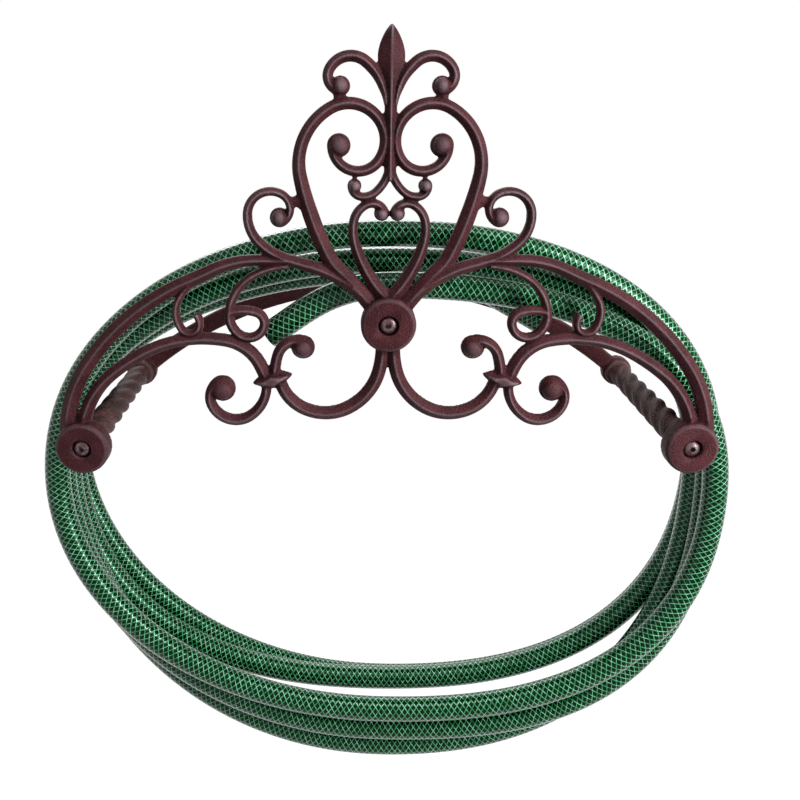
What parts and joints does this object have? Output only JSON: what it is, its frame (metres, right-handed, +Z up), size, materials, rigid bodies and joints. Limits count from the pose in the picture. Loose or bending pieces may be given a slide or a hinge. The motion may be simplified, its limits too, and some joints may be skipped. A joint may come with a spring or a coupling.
{
  "type": "wall mounted garden hose holder",
  "caption": "Cast-iron wall bracket with a scrolled front plate and rope-twist posts, carrying a coiled green braided garden hose.",
  "frame": {"origin": "on the wall, behind the centre bolt of the bracket", "axes": "+Z up, +Y into the wall, so the front plate faces -Y, and +X to the right as seen from the front"},
  "size_m": [0.524, 0.18, 0.559],
  "materials": {
    "antique_rust_iron": "sand-cast, antique rust brown, satin",
    "dark_rust_iron": "sand-cast, dark rust brown, satin",
    "brown_rope_iron": "sand-cast rope twist, antique brown, satin",
    "dark_screw_steel": "blackened, browned with the castings",
    "green_braided_hose": "clear glossy skin over a braided green core"
  },
  "bodies": {
    "root": {"front_plate": "antique_rust_iron", "wall_plate": "dark_rust_iron", "post_left": "brown_rope_iron", "post_right": "brown_rope_iron", "post_centre": "brown_rope_iron", "front_screw_left": "dark_screw_steel", "front_screw_right": "dark_screw_steel", "front_screw_centre": "dark_screw_steel", "rear_screw_left": "dark_screw_steel", "rear_screw_right": "dark_screw_steel", "rear_screw_centre": "dark_screw_steel", "hose": "green_braided_hose"}
  },
  "joints": []
}
